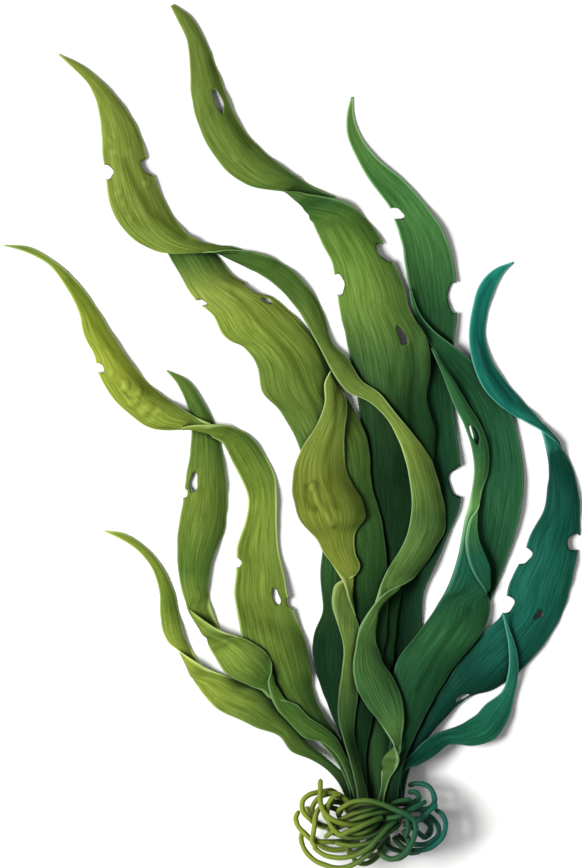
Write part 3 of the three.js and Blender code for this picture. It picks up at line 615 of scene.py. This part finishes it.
def make_crown():
    low, high = (np.array(c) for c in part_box("crown"))
    ball = bmesh.new()
    bmesh.ops.create_icosphere(ball, subdivisions=CROWN_SUBDIVISIONS, radius=1.0)
    half = (high - low) / 2
    for v in ball.verts:
        p = np.array(v.co)
        square = p / (np.abs(p) ** CROWN_SQUARENESS).sum() ** (1 / CROWN_SQUARENESS)
        lump = 1 + 0.05 * math.sin(7 * p[0] + 3 * p[2]) + 0.04 * math.sin(9 * p[2] - 5 * p[1])
        v.co = (low + high) / 2 + square * half * CROWN_FILL * lump
    mesh = bpy.data.meshes.new("crown_skin")
    ball.to_mesh(mesh)
    ball.free()
    return adopt("crown", mesh)


# Materials

# How a tissue's other shades differ from its body colour
PALER = {"Value": 2.2, "Saturation": 0.95}
DARKER = {"Value": 0.4, "Saturation": 1.1}
MARGIN_SHADE = {"Value": 2.4, "Saturation": 0.8}
STRAND_DARKER = {"Value": 0.4}
# the colour that the painted shade on a frond's side away from the key light leans to
PAINTED_SHADE_GREEN = (0.02, 0.09, 0.03, 1)
SHADOW_GREEN = (0.004, 0.014, 0.006, 1)

# Textures: noise scale and detail
FIBRES = (2.2, 6.0)
MOTTLE = (38.0, 4.0)
SPECKLE = (420.0, 4.0)
GRAIN = (160.0, 5.0)

# What a value is turned into: from low and high, to low and high
DARK_FIBRES = (0.48, 0.64, 0.0, 0.5)
PALE_FIBRES = (0.47, 0.33, 0.0, 0.28)
DARK_MOTTLE = (0.5, 0.75, 0.0, 0.3)
DARK_SPECKLE = (0.45, 0.75, 0.0, 0.6)
VEIN_CREST = (-0.2, 1.0, 0.0, 1.0)
PALE_MARGIN = (0.5, 2.2, 0.95, 0.0)
FROND_SHADOW = (0.95, 0.45, 0.0, 0.9)
STRAND_SHADOW = (0.85, 0.25, 0.0, 0.9)
FROND_ROUGHNESS = (0.3, 0.7, 0.6, 0.75)
STRAND_ROUGHNESS = (0.3, 0.7, 0.35, 0.55)
CROWN_ROUGHNESS = (0.3, 0.7, 0.45, 0.65)

# Greatest shares of another shade, or of a height
PALE_VEIN = 0.12
# painted shade in creases
PAINTED_CREASE_SHADE = 0.5
PAINTED_RIDGE_LIGHT = -0.2  # painted light on ridges, as a share of the creases' field, which is less than nothing on a ridge
# paler blister tops: partly the blisters' own paler tissue, partly a painted highlight
PALE_BLISTER_AND_HIGHLIGHT = 0.2
FIBRE_HEIGHT = 0.8
VEIN_HEIGHT = 0.15

# Reach of the shadow between pieces that lie close, in metres, and its samples
FROND_SHADOW_REACH = 0.05
STRAND_SHADOW_REACH = 0.03
SHADOW_SAMPLES = 8

FROND_SPECULAR = 0.03
STRAND_SPECULAR = 0.15
BUMP_DISTANCE = 0.0006
FROND_BUMP = 0.22
STRAND_BUMP = 0.4
CROWN_BUMP = 0.6


class Shader:
    """Short calls for building one material's nodes."""

    def __init__(self, name):
        self.material = bpy.data.materials.new(name)
        self.material.use_nodes = True
        self.tree = self.material.node_tree
        self.surface = self.tree.nodes["Principled BSDF"]

    def put(self, value, socket):
        """Links a value to a socket, or sets it there."""
        if isinstance(value, bpy.types.NodeSocket):
            self.tree.links.new(value, socket)
        else:
            socket.default_value = value

    def node(self, kind, inputs=None, **settings):
        made = self.tree.nodes.new(kind)
        for key, value in settings.items():
            setattr(made, key, value)
        for key, value in (inputs or {}).items():
            self.put(value, made.inputs[key])
        return made

    def field(self, name):
        return self.node("ShaderNodeAttribute", attribute_name=name).outputs["Fac"]

    def math(self, operation, first, second=0.0):
        return self.node("ShaderNodeMath", {0: first, 1: second}, operation=operation).outputs[0]

    def remap(self, value, low, high, to_low=0.0, to_high=1.0):
        made = self.node("ShaderNodeMapRange", {0: value, 1: low, 2: high, 3: to_low, 4: to_high})
        return made.outputs[0]

    def mix(self, factor, first, second):
        made = self.node("ShaderNodeMix", data_type="RGBA")
        for key, value in (("Factor_Float", factor), ("A_Color", first), ("B_Color", second)):
            self.put(value, next(s for s in made.inputs if s.identifier == key))
        return next(s for s in made.outputs if s.identifier == "Result_Color")

    def shade(self, colour, change):
        """A colour with its value, and maybe its saturation, changed."""
        return self.node("ShaderNodeHueSaturation", {**change, "Color": colour}).outputs[0]

    def noise(self, scale, detail, vector=None):
        inputs = {"Scale": scale, "Detail": detail}
        if vector is not None:
            inputs["Vector"] = vector
        return self.node("ShaderNodeTexNoise", inputs).outputs["Fac"]

    def open_sky(self, reach):
        """How little the surface is covered by what lies near it."""
        made = self.node("ShaderNodeAmbientOcclusion", {"Distance": reach}, samples=SHADOW_SAMPLES)
        return made.outputs["AO"]

    def ramp(self, value, stops):
        made = self.node("ShaderNodeValToRGB", {"Fac": value})
        elements = made.color_ramp.elements
        while len(elements) < len(stops):
            elements.new(0.5)
        for element, (at, colour) in zip(elements, stops):
            element.position = at
            element.color = srgb(*colour)
        return made.outputs["Color"]

    def finish(self, colour, roughness, height, bump):
        inputs = {"Height": height, "Strength": bump, "Distance": BUMP_DISTANCE}
        made = self.node("ShaderNodeBump", inputs)
        links = {"Base Color": colour, "Roughness": roughness, "Normal": made.outputs["Normal"]}
        for key, value in links.items():
            self.tree.links.new(value, self.surface.inputs[key])
        return self.material


def frond_material(node):
    sh = Shader(node + "_tissue")
    # The frond's own tone along its length, with painted shade where it lies under others and under its
    # twists
    body = sh.ramp(sh.field("along"), FROND_COLOURS_AND_SHADE[node])
    fibre_place = sh.node("ShaderNodeCombineXYZ", {0: sh.field("streak"), 1: sh.field("length")})
    fibres = sh.noise(*FIBRES, fibre_place.outputs[0])
    mottle = sh.noise(*MOTTLE)
    wave = sh.math("SINE", sh.math("MULTIPLY", sh.field("lines"), 2 * math.pi))
    vein = sh.math("MULTIPLY", sh.remap(wave, *VEIN_CREST), sh.field("fine"))
    paler = sh.shade(body, PALER)
    darker = sh.shade(body, DARKER)
    colour = sh.mix(sh.remap(fibres, *DARK_FIBRES), body, darker)
    colour = sh.mix(sh.remap(mottle, *DARK_MOTTLE), colour, darker)
    colour = sh.mix(sh.remap(fibres, *PALE_FIBRES), colour, paler)
    colour = sh.mix(sh.math("MULTIPLY", vein, PALE_VEIN), colour, paler)
    # Painted shade on the side of each frond away from the key light
    colour = sh.mix(sh.field("shade"), colour, sh.mix(0.5, darker, PAINTED_SHADE_GREEN))
    # Painted shade in creases, and painted light on ridges
    colour = sh.mix(sh.math("MULTIPLY", sh.field("crease_shading"), PAINTED_CREASE_SHADE), colour, darker)
    colour = sh.mix(sh.math("MULTIPLY", sh.field("crease_shading"), PAINTED_RIDGE_LIGHT), colour, paler)
    # Paler towards each blister's top: partly the blister's own paler tissue, partly a painted highlight
    colour = sh.mix(sh.math("MULTIPLY", sh.field("blister"), PALE_BLISTER_AND_HIGHLIGHT), colour, paler)
    covered = sh.remap(sh.open_sky(FROND_SHADOW_REACH), *FROND_SHADOW)
    colour = sh.mix(covered, colour, SHADOW_GREEN)
    margin = sh.remap(sh.field("edge"), *PALE_MARGIN)
    colour = sh.mix(margin, colour, sh.shade(body, MARGIN_SHADE))
    fibre_height = sh.math("MULTIPLY", fibres, FIBRE_HEIGHT)
    height = sh.math("ADD", fibre_height, sh.math("MULTIPLY", vein, VEIN_HEIGHT))
    sh.surface.inputs["Specular IOR Level"].default_value = FROND_SPECULAR
    return sh.finish(colour, sh.remap(mottle, *FROND_ROUGHNESS), height, FROND_BUMP)


def strand_material():
    sh = Shader("root_strand")
    place = sh.node("ShaderNodeTexCoord").outputs["Object"]
    sideways = sh.node("ShaderNodeSeparateXYZ", {0: place}).outputs[0]
    first, last = STRAND_COLOURS[0][0], STRAND_COLOURS[-1][0]
    low, high = plan_to_frame(first, 0)[0], plan_to_frame(last, 0)[0]
    stops = [((x - first) / (last - first), colour) for x, colour in STRAND_COLOURS]
    body = sh.ramp(sh.remap(sideways, low, high), stops)
    speckle = sh.noise(*SPECKLE)
    colour = sh.mix(sh.remap(speckle, *DARK_SPECKLE), body, sh.shade(body, STRAND_DARKER))
    covered = sh.remap(sh.open_sky(STRAND_SHADOW_REACH), *STRAND_SHADOW)
    colour = sh.mix(covered, colour, SHADOW_GREEN)
    sh.surface.inputs["Specular IOR Level"].default_value = STRAND_SPECULAR
    return sh.finish(colour, sh.remap(speckle, *STRAND_ROUGHNESS), speckle, STRAND_BUMP)


def crown_material():
    sh = Shader("crown_tissue")
    grain = sh.noise(*GRAIN)
    # Near-black painted shade, varied by the crown's grain
    colour = sh.ramp(grain, CROWN_SHADE_COLOURS)
    return sh.finish(colour, sh.remap(grain, *CROWN_ROUGHNESS), grain, CROWN_BUMP)


# Stage

def make_floor():
    bpy.ops.mesh.primitive_plane_add(size=FLOOR_SIZE, location=(0, 0, 0))
    floor = bpy.context.object
    floor.name = "floor"
    material = bpy.data.materials.new("floor_white")
    material.use_nodes = True
    shader = material.node_tree.nodes["Principled BSDF"]
    shader.inputs["Base Color"].default_value = FLOOR_COLOUR
    shader.inputs["Roughness"].default_value = FLOOR_ROUGHNESS
    shader.inputs["Specular IOR Level"].default_value = FLOOR_SPECULAR
    floor.data.materials.append(material)


def make_light(name, place, size, power):
    lamp = bpy.data.lights.new(name, "AREA")
    lamp.size = size
    lamp.energy = power
    made = bpy.data.objects.new(name, lamp)
    made.location = place
    made.rotation_euler = (-Vector(place)).to_track_quat("-Z", "Y").to_euler()
    bpy.context.collection.objects.link(made)


def make_lights():
    make_light("key", **KEY_LIGHT)
    make_light("fill", **FILL_LIGHT)
    world = bpy.data.worlds.new("studio")
    world.use_nodes = True
    background = world.node_tree.nodes["Background"]
    background.inputs["Color"].default_value = (1, 1, 1, 1)
    background.inputs["Strength"].default_value = SKY_STRENGTH
    bpy.context.scene.world = world
    bpy.context.scene.view_settings.view_transform = "Standard"


def make_camera():
    camera = bpy.data.cameras.new("camera")
    camera.lens = CAMERA_LENS
    camera.sensor_width = SENSOR
    made = bpy.data.objects.new("camera", camera)
    x, y = plan_to_frame(PHOTO_SIZE[0] / 2, PHOTO_SIZE[1] / 2)
    made.location = (x, y, LOOK_HEIGHT + PHOTO_SIZE[1] * MM * CAMERA_LENS / SENSOR)
    bpy.context.collection.objects.link(made)
    bpy.context.scene.camera = made


strand_look = strand_material()
for order, node in enumerate(sorted(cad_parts)):
    if node == "crown":
        piece = make_crown()
        piece.data.materials.append(crown_material())
    elif node.startswith("hapteron_"):
        piece = make_strand(node, SEED_STEP * order)
        piece.data.materials.append(strand_look)
    else:
        piece = make_frond(node, SEED_STEP * order)
        piece.data.materials.append(frond_material(node))

make_floor()
make_lights()
make_camera()
